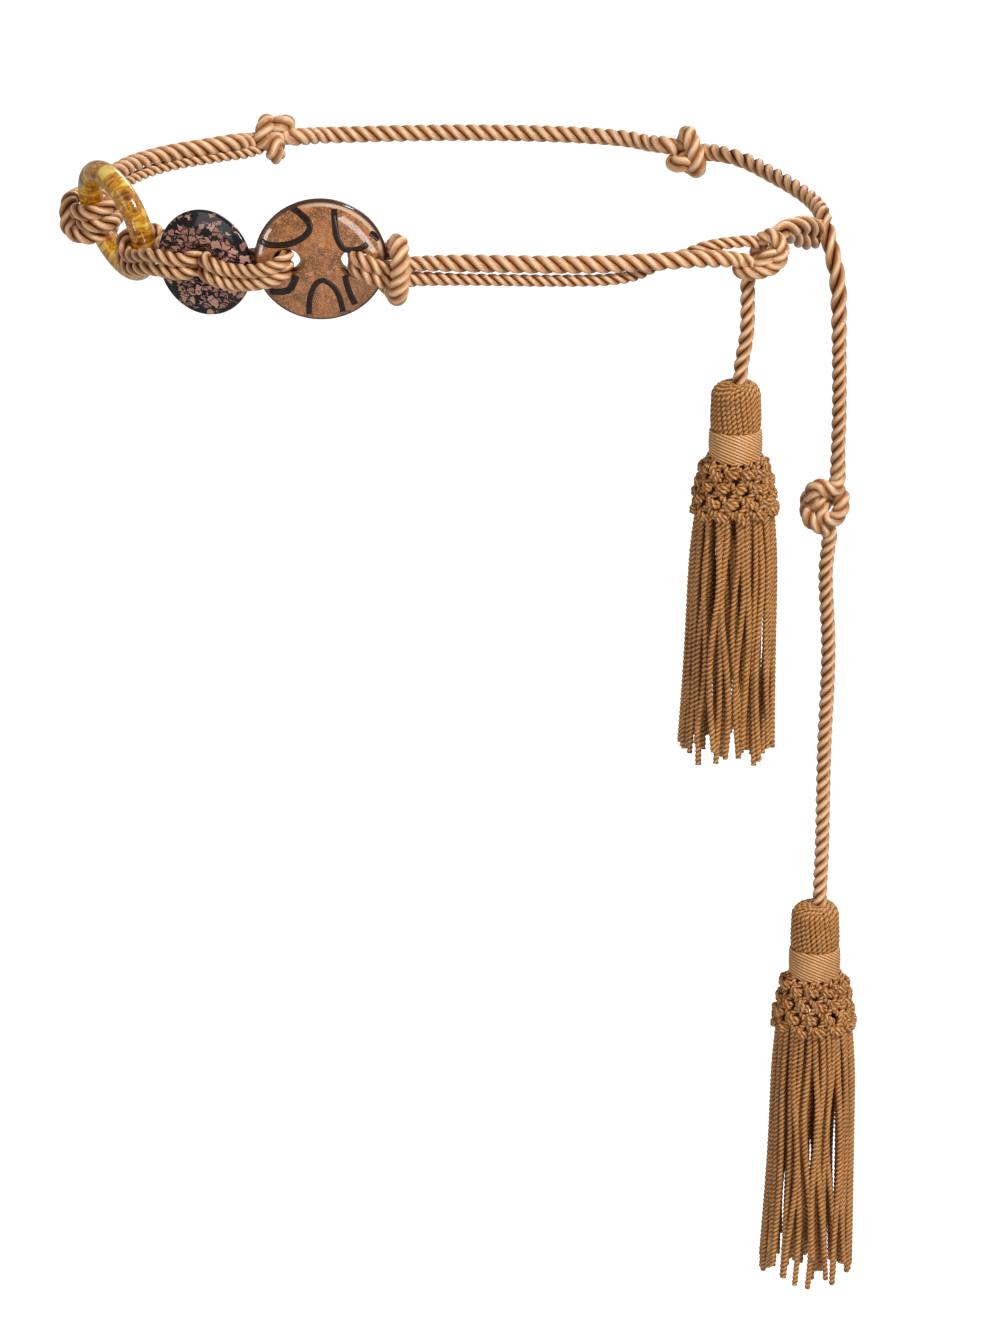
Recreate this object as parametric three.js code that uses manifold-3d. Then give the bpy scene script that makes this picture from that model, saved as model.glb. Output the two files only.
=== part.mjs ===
// Rope belt: twisted satin cord knotted into a waist loop, joined in front by a glass ring and
// two glass discs that rope links tie together, with two hanging ends that carry tassels.
// Millimetres, +Z up, -Y to the wearer's front. The origin is the middle of the waist.
import * as THREE from "three";
import { mergeVertices } from "three/addons/utils/BufferGeometryUtils.js";
import Module from "manifold-3d";

const wasm = await Module();
wasm.setup();

// Clearance between pieces that touch
const GAP = 0.3;

// Rope diameters: the doubled stretches untwist one strand and over-twist the other
const THICK = 6.4;
const THIN = 4.0;
const HANGING = 5.4;
const KNOTTED = 5.6;
const KNOT_STEP = 0.7;
const LINK = 4.0;
const HITCH = 5;

// Heights of the two strands where the rope is doubled: a little light shows between them
const PAIR_GAP = 0.7;
const PAIR = (THICK + THIN) / 2 + PAIR_GAP;
const THICK_Z = 2.5;
const BACK_THICK_Z = 2.1;
const BACK_THIN_Z = BACK_THICK_Z - (THICK + THIN) / 2 - 0.5 * PAIR_GAP;
const THIN_Z = THICK_Z - PAIR;

// Glass ring, leaning with its top to the wearer's right
const RING_RADIUS = 18.9;
const RING_WALL = 8.6;
const RING_CENTRE = [-117.5, -30, 0];
const RING_NORMAL = [0.86, 0.41, 0.31];

// Lens-shaped glass discs: a rope link passes through each hole
const HOLE_CLEARANCE = 1.1;
const TURN_GAP = 0.8;
const speckled = {
  diameter: 36.6, thickness: 6, edge: 2.4, centre: [-84, -82, 0.2], normal: [-0.48, -0.88, 0],
  holes: [0], hole: 2.42 * LINK + 2 * HOLE_CLEARANCE,
};
const patterned = {
  diameter: 45, thickness: 7, edge: 2.6, centre: [-43, -92, 4.1], normal: [0, -0.986, -0.165],
  holes: [-12, 12], hole: 2 * LINK + TURN_GAP + HOLE_CLEARANCE,
};

// Tassels: shared sizes, then each one's head top and whole length
const HEAD_DIAMETER = 17.8;
const HEAD_HEIGHT = 17;
const ROPE_ENTRY = 1.6;
const BAND_DIAMETER = 18.6;
const BAND_HEIGHT = 8.8;
const NET_DIAMETER = 30;
const NET_HEIGHT = 20;
const SKIRT_TOP_DIAMETER = 20;
const SKIRT_DIAMETER = 33;
const SKIRT_LOCKS = 14;
const tassels = [
  { name: "short_tassel", top: [104, -76, -46.6], length: 142 },
  { name: "long_tassel", top: [136.9, -36.6, -259.8], length: 151 },
];

const rope = new THREE.MeshStandardMaterial({ color: 0xc08b58, roughness: 0.45, metalness: 0 });
const tasselThread = new THREE.MeshStandardMaterial({ color: 0xa87845, roughness: 0.5, metalness: 0 });
const amberGlass = new THREE.MeshStandardMaterial({ color: 0xc98a2e, roughness: 0.08, metalness: 0 });
const speckledGlass = new THREE.MeshStandardMaterial({ color: 0x2b1a16, roughness: 0.08, metalness: 0 });
const copperGlass = new THREE.MeshStandardMaterial({ color: 0xa8764f, roughness: 0.08, metalness: 0 });

const belt = new THREE.Group();

function vector([x, y, z]) {
  return new THREE.Vector3(x, y, z);
}

function addPiece(name, geometry, material) {
  const mesh = new THREE.Mesh(geometry, material);
  mesh.name = name;
  belt.add(mesh);
  return mesh;
}

// Rope as a round tube along a route, closed at both ends
function tube(route, diameter, stepLength = 2.2) {
  const curve = new THREE.CatmullRomCurve3(route, false, "centripetal");
  const steps = Math.max(2, Math.round(curve.getLength() / (stepLength * diameter)));
  const sides = diameter < 5 ? 8 : 10;
  const section = new THREE.Shape();
  for (let side = 0; side < sides; side++) {
    const angle = (2 * Math.PI * side) / sides;
    const x = (diameter / 2) * Math.cos(angle);
    const y = (diameter / 2) * Math.sin(angle);
    if (side === 0) section.moveTo(x, y);
    else section.lineTo(x, y);
  }
  return new THREE.ExtrudeGeometry(section, { steps, extrudePath: curve, bevelEnabled: false });
}

// Overhand knot pulled tight along X: a loose pretzel is shortened while touching turns push apart
function overhandKnot(diameter, reach, hand) {
  const samples = 61;
  const rounds = 600;
  const slackTurns = 8.2;
  const scale = 0.95 * diameter;
  const tail = reach - 0.7 * diameter;
  const loose = [new THREE.Vector3(-reach, 0, 0), new THREE.Vector3(-tail, 0, 0)];
  for (let i = 0; i <= 24; i++) {
    const t = 3.7 + (4.88 * i) / 24;
    loose.push(new THREE.Vector3(
      -scale * (Math.sin(t) + 2 * Math.sin(2 * t)),
      scale * (Math.cos(t) - 2 * Math.cos(2 * t) + 1),
      -hand * scale * Math.sin(3 * t),
    ));
  }
  loose.push(new THREE.Vector3(tail, 0, 0), new THREE.Vector3(reach, 0, 0));
  const start = new THREE.CatmullRomCurve3(loose, false, "centripetal");
  const points = start.getSpacedPoints(samples - 1);
  const looseLength = start.getLength();
  const tightLength = 2 * reach + slackTurns * diameter;
  const push = new THREE.Vector3();
  for (let round = 0; round < rounds; round++) {
    const share = Math.min(1, round / (0.7 * rounds));
    const rest = (looseLength + (tightLength - looseLength) * share) / (samples - 1);
    const apart = Math.ceil((1.45 * diameter) / rest);
    for (let i = 1; i < samples - 1; i++) {
      push.addVectors(points[i - 1], points[i + 1]).multiplyScalar(0.5).sub(points[i]);
      points[i].addScaledVector(push, 0.2);
    }
    for (let pass = 0; pass < 4; pass++) {
      for (let i = 0; i + 1 < samples; i++) {
        push.subVectors(points[i + 1], points[i]);
        const error = (push.length() - rest) / push.length() / 2;
        points[i].addScaledVector(push, error);
        points[i + 1].addScaledVector(push, -error);
      }
      for (let i = 0; i < samples; i++) {
        for (let j = i + apart; j < samples; j++) {
          push.subVectors(points[j], points[i]);
          const short = diameter - push.length();
          if (short > 0) {
            push.setLength(short / 2);
            points[i].sub(push);
            points[j].add(push);
          }
        }
      }
      points[0].set(-reach, 0, 0);
      points[1].set(-reach + rest, 0, 0);
      points[samples - 2].set(reach - rest, 0, 0);
      points[samples - 1].set(reach, 0, 0);
    }
  }
  return points;
}

// Places a knot made along X between two points, turned about that line by roll
function placeKnot(points, from, to, roll) {
  const along = to.clone().sub(from).normalize();
  const middle = from.clone().add(to).multiplyScalar(0.5);
  const reference = Math.abs(along.z) > 0.9 ? new THREE.Vector3(0, -1, 0) : new THREE.Vector3(0, 0, 1);
  const side = new THREE.Vector3().crossVectors(reference, along).normalize();
  const turn = new THREE.Matrix4().makeBasis(along, side, new THREE.Vector3().crossVectors(along, side));
  turn.multiply(new THREE.Matrix4().makeRotationX(roll));
  return points.map((point) => point.clone().applyMatrix4(turn).add(middle));
}

// Ring frame: a point on the ring's wall at an angle, with its outward, sideways and along axes
const ringNormal = vector(RING_NORMAL).normalize();
const ringFront = new THREE.Vector3().crossVectors(ringNormal, new THREE.Vector3(0, 0, 1)).normalize();
const ringUp = new THREE.Vector3().crossVectors(ringFront, ringNormal);

function ringPoint(angle, outward, sideways, along) {
  const spoke = ringFront.clone().multiplyScalar(Math.cos(angle)).addScaledVector(ringUp, Math.sin(angle));
  const rim = ringUp.clone().multiplyScalar(Math.cos(angle)).addScaledVector(ringFront, -Math.sin(angle));
  return vector(RING_CENTRE)
    .addScaledVector(spoke, RING_RADIUS + outward)
    .addScaledVector(ringNormal, sideways)
    .addScaledVector(rim, along);
}

const ring = addPiece("glass_ring", new THREE.TorusGeometry(RING_RADIUS, RING_WALL / 2, 12, 40), amberGlass);
ring.position.copy(vector(RING_CENTRE));
ring.quaternion.setFromUnitVectors(new THREE.Vector3(0, 0, 1), ringNormal);

// Cow hitch on the ring's back wall: both strands turn round the wall and a bar crosses them
const hitchTurn = RING_WALL / 2 + HITCH / 2 + 0.8;
const hitchBar = hitchTurn + HITCH + 0.1;
const hitchEnd = hitchBar + 7.5;
const HITCH_ANGLE = Math.PI + 0.14;
const hitchSide = 1.2;
const halfHitch = [
  [hitchEnd, hitchSide, 0.52], [hitchBar, 0.6, 0.52], [hitchTurn - 0.4, 0.4 * hitchTurn, 0.54],
  [0.2 * hitchTurn, hitchTurn, 0.58], [-0.72 * hitchTurn, 0.7 * hitchTurn, 0.56],
  [-hitchTurn, 0, 0.58], [-0.72 * hitchTurn, -0.7 * hitchTurn, 0.66], [0.2 * hitchTurn, -hitchTurn, 0.95],
  [0.85 * hitchTurn, -0.8 * hitchTurn, 1.35], [1.2 * hitchTurn, -0.1 * hitchTurn, 1.62],
  [hitchBar + 0.4, 0.36 * hitchTurn, 1.1], [hitchBar + 2.1, 0.45 * hitchTurn, 0.5],
];
const hitchRoute = [
  ...halfHitch.map(([outward, sideways, share]) => [outward, sideways, share * HITCH]),
  ...halfHitch.toReversed().map(([outward, sideways, share]) => [outward, sideways, -share * HITCH]),
].map(([outward, sideways, along]) => ringPoint(HITCH_ANGLE, outward, sideways, along));
addPiece("ring_hitch", tube(hitchRoute, HITCH, 0.9), rope);

// Knots in the rope: where the rope enters and leaves each of them
const knots = {
  back_left_knot: { from: [-72.2, 80.4, 1.9], to: [-54.3, 90, 0], roll: 0.5 * Math.PI, hand: 1 },
  back_right_knot: { from: [80.9, 81.9, 0], to: [99, 69.7, 0], roll: -0.5 * Math.PI, hand: 1 },
  front_right_knot: { from: [101.6, -80.8, 1.9], to: [121.6, -71.8, -0.4], roll: -0.35 * Math.PI, hand: 1 },
  hanging_knot: { from: [141.6, -36, -93.7], to: [139.2, -36, -115.6], roll: 0.95 * Math.PI, hand: 1 },
};

function addKnot(name) {
  const { from, to, roll, hand } = knots[name];
  const reach = vector(from).distanceTo(vector(to)) / 2;
  const route = placeKnot(overhandKnot(KNOTTED, reach, hand), vector(from), vector(to), roll);
  addPiece(name, tube(route, KNOTTED - 0.2, KNOT_STEP), rope);
}

// Two points that lead straight out of a knot's end, so that the next stretch meets it face to face
function outOf(name, end, diameter) {
  const { from, to } = knots[name];
  const place = vector(end === "to" ? to : from);
  const out = place.clone().sub(vector(end === "to" ? from : to)).normalize();
  return [GAP, 0.5 * diameter].map((distance) => place.clone().addScaledVector(out, distance));
}

Object.keys(knots).forEach(addKnot);

// Waist rope: the stretches of the loop, chosen by hand, from the ring round the back to the front
// The pair leaves the ring's hitch, thick strand above
function outOfHitch(diameter, along) {
  return [hitchEnd + GAP, hitchEnd + 0.8 * diameter].map((outward) =>
    ringPoint(HITCH_ANGLE, outward, hitchSide, along));
}

const hitchPair = 0.52 * HITCH + 0.4;
const backThick = [
  ...outOfHitch(THICK, -hitchPair),
  ...[[-129, 19, BACK_THICK_Z], [-121.5, 33, BACK_THICK_Z], [-116.5, 44, BACK_THICK_Z],
    [-109, 54, BACK_THICK_Z], [-99.5, 62.5, BACK_THICK_Z], [-88, 70, BACK_THICK_Z],
    [-79.5, 75.6, BACK_THICK_Z]].map(vector),
  ...outOf("back_left_knot", "from", THICK).toReversed(),
];
const backThin = [
  ...outOfHitch(THIN, hitchPair),
  ...[[-129, 19, BACK_THIN_Z], [-121.5, 33, BACK_THIN_Z], [-116.5, 44, BACK_THIN_Z],
    [-109, 54, BACK_THIN_Z], [-99.5, 62.5, BACK_THIN_Z], [-88, 70, BACK_THIN_Z],
    [-81, 74.2, BACK_THIN_Z], [-74.4, 77.8, BACK_THIN_Z - 0.6]].map(vector),
];
const backRope = [
  ...outOf("back_left_knot", "to", THICK),
  ...[[-40, 94.6, 0], [-20, 96.6, 0], [4, 97.8, 0], [28, 97, 0], [51, 94, 0], [68, 88.5, 0]].map(vector),
  ...outOf("back_right_knot", "from", THICK).toReversed(),
];
const sideRope = [
  ...outOf("back_right_knot", "to", HANGING),
  ...[[106, 63.5, 0], [112.6, 54, 0], [119.5, 39, 0], [126.5, 22.5, 0], [132.5, 5, 0], [135.6, -12, 0.4],
    [136.4, -23, 0.6], [137.6, -31.5, -2.6], [139.4, -36.4, -9.5], [141, -37, -17],
    [141.8, -36.6, -24]].map(vector),
];
const frontThick = [
  ...[[-8.5, -91.5, THICK_Z], [6, -91.8, THICK_Z], [21, -92.6, THICK_Z], [42, -93.6, THICK_Z],
    [58, -92.8, THICK_Z], [74, -90, THICK_Z], [88, -86.4, THICK_Z]].map(vector),
  ...outOf("front_right_knot", "from", THICK).toReversed(),
];
const frontThin = [
  [-8.5, -91.5, THIN_Z], [6, -91.8, THIN_Z], [21, -92.6, THIN_Z], [42, -93.4, THIN_Z],
  [54, -91.6, THIN_Z], [61, -87.6, THIN_Z + 0.4], [67, -83.2, -1.4], [73, -80.4, 0.6], [80, -79.2, 2.4],
  [88.5, -78.4, 4], [96, -75.8, 5.6], [101, -73.6, 6.4],
].map(vector);
addPiece("back_left_thick_strand", tube(backThick, THICK), rope);
addPiece("back_left_thin_strand", tube(backThin, THIN), rope);
addPiece("back_rope", tube(backRope, THICK), rope);
addPiece("side_rope", tube(sideRope, HANGING, 1.4), rope);
addPiece("front_thick_strand", tube(frontThick, THICK), rope);
addPiece("front_thin_strand", tube(frontThin, THIN), rope);

// Disc frame: a point from the disc's middle, to its right, up its face and out of its front
function discAxes(disc) {
  const out = vector(disc.normal).normalize();
  const right = new THREE.Vector3().crossVectors(new THREE.Vector3(0, 0, 1), out).normalize();
  return { right, up: new THREE.Vector3().crossVectors(out, right), out };
}

function discPoint(disc, [right, up, out]) {
  const axes = discAxes(disc);
  return vector(disc.centre)
    .addScaledVector(axes.right, right)
    .addScaledVector(axes.up, up)
    .addScaledVector(axes.out, out);
}

function toSolid(geometry) {
  const bare = geometry.index ? geometry.clone() : geometry;
  bare.deleteAttribute("normal");
  bare.deleteAttribute("uv");
  const merged = mergeVertices(bare, 1e-5);
  return new wasm.Manifold(new wasm.Mesh({
    numProp: 3,
    vertProperties: Float32Array.from(merged.attributes.position.array),
    triVerts: Uint32Array.from(merged.index.array),
  }));
}

function toGeometry(solid) {
  const mesh = solid.getMesh();
  const geometry = new THREE.BufferGeometry();
  geometry.setAttribute("position", new THREE.BufferAttribute(Float32Array.from(mesh.vertProperties), 3));
  geometry.setIndex(new THREE.BufferAttribute(Uint32Array.from(mesh.triVerts), 1));
  return geometry;
}

// Lens disc turned about its axis, with its holes cut through; made lying flat, then stood up
function addDisc(name, disc, material) {
  const radius = disc.diameter / 2;
  const rings = 6;
  const profile = [];
  for (let ring = 0; ring <= rings; ring++) {
    const share = ring / rings;
    const half = disc.edge / 2 + ((disc.thickness - disc.edge) / 2) * (1 - share * share);
    profile.push(new THREE.Vector2(radius * share, -half));
  }
  profile.push(new THREE.Vector2(radius + 0.3 * disc.edge, 0));
  profile.push(...profile.slice(0, rings + 1).toReversed().map(({ x, y }) => new THREE.Vector2(x, -y)));
  let solid = toSolid(new THREE.LatheGeometry(profile, 40));
  for (const place of disc.holes) {
    const hole = new THREE.CylinderGeometry(disc.hole / 2, disc.hole / 2, 2 * disc.thickness, 20);
    solid = solid.subtract(toSolid(hole.translate(place, 0, 0)));
  }
  const mesh = addPiece(name, toGeometry(solid), material);
  const { right, up, out } = discAxes(disc);
  mesh.quaternion.setFromRotationMatrix(new THREE.Matrix4().makeBasis(right, out, up.clone().negate()));
  mesh.position.copy(vector(disc.centre));
}

addDisc("speckled_disc", speckled, speckledGlass);
addDisc("patterned_disc", patterned, copperGlass);

// Links: each is two turns of rope, one above the other, round what it ties together
function addLink(name, routeAt) {
  for (const [turn, sign] of [["upper", 1], ["lower", -1]]) {
    const curve = new THREE.CatmullRomCurve3(routeAt((sign * (LINK + TURN_GAP)) / 2), true, "centripetal");
    const steps = Math.round(curve.getLength() / (0.7 * LINK));
    addPiece(`${name}_${turn}`, new THREE.TubeGeometry(curve, steps, LINK / 2, 8, true), rope);
  }
}

// Clearance of a rope's centre line over a disc's middle and over its edge
function over(disc) {
  return { middle: disc.thickness / 2 + LINK / 2 + 1, edge: disc.edge / 2 + LINK / 2 + 0.8 };
}

// First link: round the ring's front wall, and through the speckled disc round its left edge
const LINK_ANGLE = -0.4;
const wallTurn = RING_WALL / 2 + LINK / 2 + 1.5;
const beside = (LINK + GAP) / 2;
addLink("ring_link", (height) => {
  const { middle, edge } = over(speckled);
  const rim = speckled.diameter / 2;
  const wall = [[0.1 * wallTurn, wallTurn], [-0.72 * wallTurn, 0.72 * wallTurn], [-wallTurn, 0],
    [-0.72 * wallTurn, -0.72 * wallTurn], [0.1 * wallTurn, -wallTurn]];
  const disc = [[-rim - 1, -1.6, edge], [-1.5 * LINK, -1, middle], [-beside - 0.3, 0, 0.9 * middle - 1],
    [-beside, 0, 0], [-beside - 0.3, 0, 1 - 0.9 * middle], [-1.5 * LINK, 0, -middle], [-rim - 1, 0, -edge]];
  return [
    ...wall.map(([outward, sideways]) =>
      ringPoint(LINK_ANGLE, outward, sideways, 0).add(new THREE.Vector3(0, 0, height))),
    ...disc.map(([right, up, out]) => discPoint(speckled, [right, height + up, out])),
  ];
});

// Second link: through the speckled disc's hole and the patterned disc's left one
addLink("disc_link", (height) => {
  const left = over(speckled);
  const right = over(patterned);
  const rim = speckled.diameter / 2;
  const hole = patterned.holes[0];
  const from = [[beside, 0, 0], [beside + 0.3, 0, 0.9 * left.middle - 1], [1.5 * LINK, -1, left.middle],
    [0.75 * rim, -2.4, left.edge + 1]];
  const to = [[hole - 1.5 * LINK, -3, right.middle], [hole - 0.3, 0, 0.9 * right.middle - 1], [hole, 0, 0],
    [hole - 0.3, 0, 1 - 0.9 * right.middle], [hole - 1.5 * LINK, -1, -right.middle]];
  const back = [[0.75 * rim, 0, -left.edge - 1], [1.5 * LINK, 0, -left.middle],
    [beside + 0.3, 0, 1 - 0.9 * left.middle]];
  return [
    ...from.map(([x, up, out]) => discPoint(speckled, [x, height + up, out])),
    ...to.map(([x, up, out]) => discPoint(patterned, [x, height + up, out])),
    ...back.map(([x, up, out]) => discPoint(speckled, [x, height + up, out])),
  ];
});

// Cow hitch through the patterned disc's right hole: both strands of the front rope pass under a bar,
// over the disc, through the hole and round the edge to the bar's ends
const frontHitch = [
  [34, -1.7, 0.2], [29.5, -2, 1.2], [25, -1.6, 4], [20, -0.4, 5.8], [16.5, 1.2, 5.8], [12.6, 2.2, 3.6],
  [12.2, 2.2, 0], [12.6, 2.2, -3.6], [16.5, 3.5, -6], [21.5, 6, -5], [26.2, 8.3, -1.6],
  [28.9, 7.2, 4.4], [28.6, 2.6, 8.1], [27.8, -4.2, 8.8], [27.6, -10.6, 7.6], [27.4, -14.9, 3.4],
  [25.4, -14.6, -2], [20.5, -10.5, -5.2], [16, -5.5, -6], [12.6, -2.2, -3.6], [12.2, -2.2, 0],
  [12.6, -2.2, 3.6], [16.5, -3.4, 5.8], [20, -5.3, 5.8], [25, -6.6, 4], [29.5, -7.6, 1.2],
  [34, -7.6, 0.2],
];
addPiece("disc_hitch", tube(frontHitch.map((place) => discPoint(patterned, place)), LINK, 0.9), rope);

// Bight at the rope's end, round the long hanging rope
const endBight = [
  [119.6, -70, 5.6], [125, -58, 5], [131, -46, 3.8], [136.6, -38.6, 2.4], [142, -35.6, 1],
  [143.6, -30.6, -3.6], [139.4, -27.4, -7.6], [133.4, -31.4, -7.6], [131, -44, -3],
  [126, -55, 0.2], [121.6, -65, 0.4],
];
addPiece("end_bight", tube(endBight.map(vector), THIN, 1.1), rope);

// Hanging ends: each meets its tassel's head from straight above
function intoTassel({ top: [x, y, z] }) {
  return [[x + ROPE_ENTRY, y, z + HANGING], [x + ROPE_ENTRY, y, z + GAP]];
}

const shortRope = [[108.4, -76.5, -9.4], [107.6, -76.5, -27], ...intoTassel(tassels[0])];
const longUpper = [[141.8, -36.6, -24.3], [142.4, -36.4, -45], [142.8, -36.2, -68], [142.6, -36, -84],
  [141.9, -36, -93.1]];
const longLower = [[139, -36, -116.3], [138.8, -36.2, -130], [140.2, -36.4, -160], [139.2, -36.6, -200],
  [139, -36.6, -235], ...intoTassel(tassels[1])];
addPiece("short_hanging_rope", tube(shortRope.map(vector), HANGING), rope);
addPiece("long_hanging_rope_upper", tube(longUpper.map(vector), HANGING), rope);
addPiece("long_hanging_rope_lower", tube(longLower.map(vector), HANGING), rope);

// Tassel pieces, from a profile of distance from the axis and height below the head's top
function lathe(profile, segments) {
  const points = profile.map(([radius, height]) => new THREE.Vector2(radius, height));
  return new THREE.LatheGeometry(points, segments).rotateX(Math.PI / 2);
}

function skirtRadius(share) {
  return (SKIRT_TOP_DIAMETER + (SKIRT_DIAMETER - SKIRT_TOP_DIAMETER) * share ** 0.35) / 2;
}

// Skirt of fused cord locks: flutes that deepen downwards, each lock ending at its own length
function skirt(length) {
  const rows = 7;
  const profile = [[0, -length]];
  for (let row = rows; row >= 0; row--) profile.push([skirtRadius(row / rows), (-length * row) / rows]);
  profile.push([0, 0]);
  const geometry = lathe(profile, 3 * SKIRT_LOCKS);
  const places = geometry.attributes.position;
  for (let i = 0; i < places.count; i++) {
    const share = -places.getZ(i) / length;
    const turn = Math.atan2(places.getY(i), places.getX(i)) / (2 * Math.PI) + 1;
    const lock = Math.round(turn * SKIRT_LOCKS) % SKIRT_LOCKS;
    const flute = 1 - 0.07 * share * (1 - Math.cos(2 * Math.PI * turn * SKIRT_LOCKS));
    const rise = 0.02 * length * (1 + Math.sin(2.6 * lock)) * share ** 2;
    places.setXYZ(i, places.getX(i) * flute, places.getY(i) * flute, places.getZ(i) + rise);
  }
  return geometry;
}

function addTassel({ name, top, length }) {
  const head = HEAD_DIAMETER / 2;
  const band = BAND_DIAMETER / 2;
  const bandTop = -HEAD_HEIGHT - GAP;
  const skirtTop = bandTop - BAND_HEIGHT - GAP;
  const skirtLength = length + skirtTop;
  const neck = HANGING / 2;
  const pieces = {
    head: lathe([[0, -HEAD_HEIGHT], [head, -HEAD_HEIGHT], [head, -0.5 * HEAD_HEIGHT],
      [0.92 * head, -0.27 * HEAD_HEIGHT], [0.66 * head, -0.09 * HEAD_HEIGHT], [neck + ROPE_ENTRY, 0],
      [0, 0]], 24),
    band: lathe([[0, bandTop - BAND_HEIGHT], [0.97 * band, bandTop - BAND_HEIGHT],
      [band, bandTop - 0.75 * BAND_HEIGHT], [band, bandTop - 0.25 * BAND_HEIGHT], [0.97 * band, bandTop],
      [0, bandTop]], 24),
    skirt: skirt(skirtLength).translate(0, 0, skirtTop),
    net: lathe(netProfile(skirtTop, skirtLength), 24),
  };
  for (const [piece, geometry] of Object.entries(pieces)) {
    addPiece(`${name}_${piece}`, geometry, tasselThread).position.copy(vector(top));
  }
}

// Knotted net: a ruff round the skirt's top, standing off it by the clearance
function netProfile(skirtTop, skirtLength) {
  const inside = [0, 0.5, 1].map((share) => {
    const depth = share * NET_HEIGHT;
    return [skirtRadius(depth / skirtLength) / Math.cos(Math.PI / 24) + 2 * GAP, skirtTop - depth];
  });
  const outside = [[0.82, 0.05], [0.97, 0.3], [1, 0.6], [0.97, 0.97]].map(([wide, share]) =>
    [(wide * NET_DIAMETER) / 2, skirtTop - share * NET_HEIGHT]);
  const profile = [...outside.toReversed(), ...inside];
  return [...profile, profile[0]];
}

tassels.forEach(addTassel);

export default belt;
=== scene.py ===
import math
import random

import bpy
import numpy as np
from mathutils import Matrix, Vector


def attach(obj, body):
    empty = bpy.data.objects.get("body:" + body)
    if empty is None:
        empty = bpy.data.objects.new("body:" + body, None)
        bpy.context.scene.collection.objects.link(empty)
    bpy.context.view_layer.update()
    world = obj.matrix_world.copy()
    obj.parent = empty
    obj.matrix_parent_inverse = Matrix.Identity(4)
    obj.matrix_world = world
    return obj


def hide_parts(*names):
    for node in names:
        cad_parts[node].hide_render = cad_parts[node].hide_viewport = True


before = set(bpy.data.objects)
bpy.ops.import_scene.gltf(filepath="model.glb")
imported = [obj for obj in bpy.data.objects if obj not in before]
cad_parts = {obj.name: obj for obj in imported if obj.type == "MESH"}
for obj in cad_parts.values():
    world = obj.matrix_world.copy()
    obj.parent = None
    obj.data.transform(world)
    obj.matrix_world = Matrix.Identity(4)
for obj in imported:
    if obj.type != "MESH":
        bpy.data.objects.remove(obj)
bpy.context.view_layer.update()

# Studio: the belt hangs in the air in a white room, over a pale floor far below it.
# One large soft light stands high on the right, a weaker one on the left, and the camera is a
# long lens that looks down on the waist from the front.
MM = 0.001
IMAGE_HEIGHT = 1333
FOCAL_PIXELS = 7150
SENSOR_WIDTH = 36
CAMERA_PLACE = (20 * MM, -2513.35 * MM, 686.48 * MM)
CAMERA_PITCH = 71
BELT_MIDDLE = (0, 0, -0.1)
FLOOR_Z = -1.1
FLOOR_HALF = 7
scene = bpy.context.scene
scene.view_settings.view_transform = "Standard"


def put(name, data):
    """A new object in the scene."""
    thing = bpy.data.objects.new(name, data)
    scene.collection.objects.link(thing)
    return thing


camera_data = bpy.data.cameras.new("camera")
camera_data.sensor_width = SENSOR_WIDTH
camera_data.lens = SENSOR_WIDTH * FOCAL_PIXELS / IMAGE_HEIGHT
camera_data.clip_end = 50
scene.camera = put("camera", camera_data)
scene.camera.location = CAMERA_PLACE
scene.camera.rotation_euler = (math.radians(CAMERA_PITCH), 0, 0)

world = bpy.data.worlds.new("white_room")
world.use_nodes = True
room = world.node_tree.nodes["Background"].inputs
room["Color"].default_value = (1, 1, 1, 1)
room["Strength"].default_value = 0.32
scene.world = world


def soft_light(name, place, size, watts):
    """A square softbox that points at the belt."""
    data = bpy.data.lights.new(name, "AREA")
    data.size, data.energy = size, watts
    lamp = put(name, data)
    lamp.location = place
    lamp.rotation_euler = (Vector(BELT_MIDDLE) - Vector(place)).to_track_quat("-Z", "Y").to_euler()


soft_light("key_light", (1.5, -1.4, 1.9), 0.55, 72)
soft_light("fill_light", (-1.8, -1.6, 0.6), 1.2, 10)
soft_light("back_light", (0.9, 1.9, 1.2), 1.0, 14)


def strip_light(name, first, last, width, target, watts):
    """A long narrow softbox between two places, for a glint along polished edges."""
    first, last = Vector(first), Vector(last)
    middle = (first + last) / 2
    data = bpy.data.lights.new(name, "AREA")
    data.shape, data.energy = "RECTANGLE", watts
    data.size, data.size_y = (last - first).length, width
    back = (middle - Vector(target)).normalized()
    side = (last - first).normalized()
    side = (side - side.dot(back) * back).normalized()
    turn = Matrix((side, back.cross(side), back)).transposed().to_4x4()
    put(name, data).matrix_world = Matrix.Translation(middle) @ turn


strip_light("right_glint", (0.85, -1.5, -1.06), (0.24, -2.04, -0.36), 0.24, (-0.03, -0.09, 0.01), 7)
strip_light("left_glint", (-1.3, -1.5, -0.95), (-1.05, -1.7, -0.4), 0.16, (-0.07, -0.09, 0), 3.5)


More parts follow.
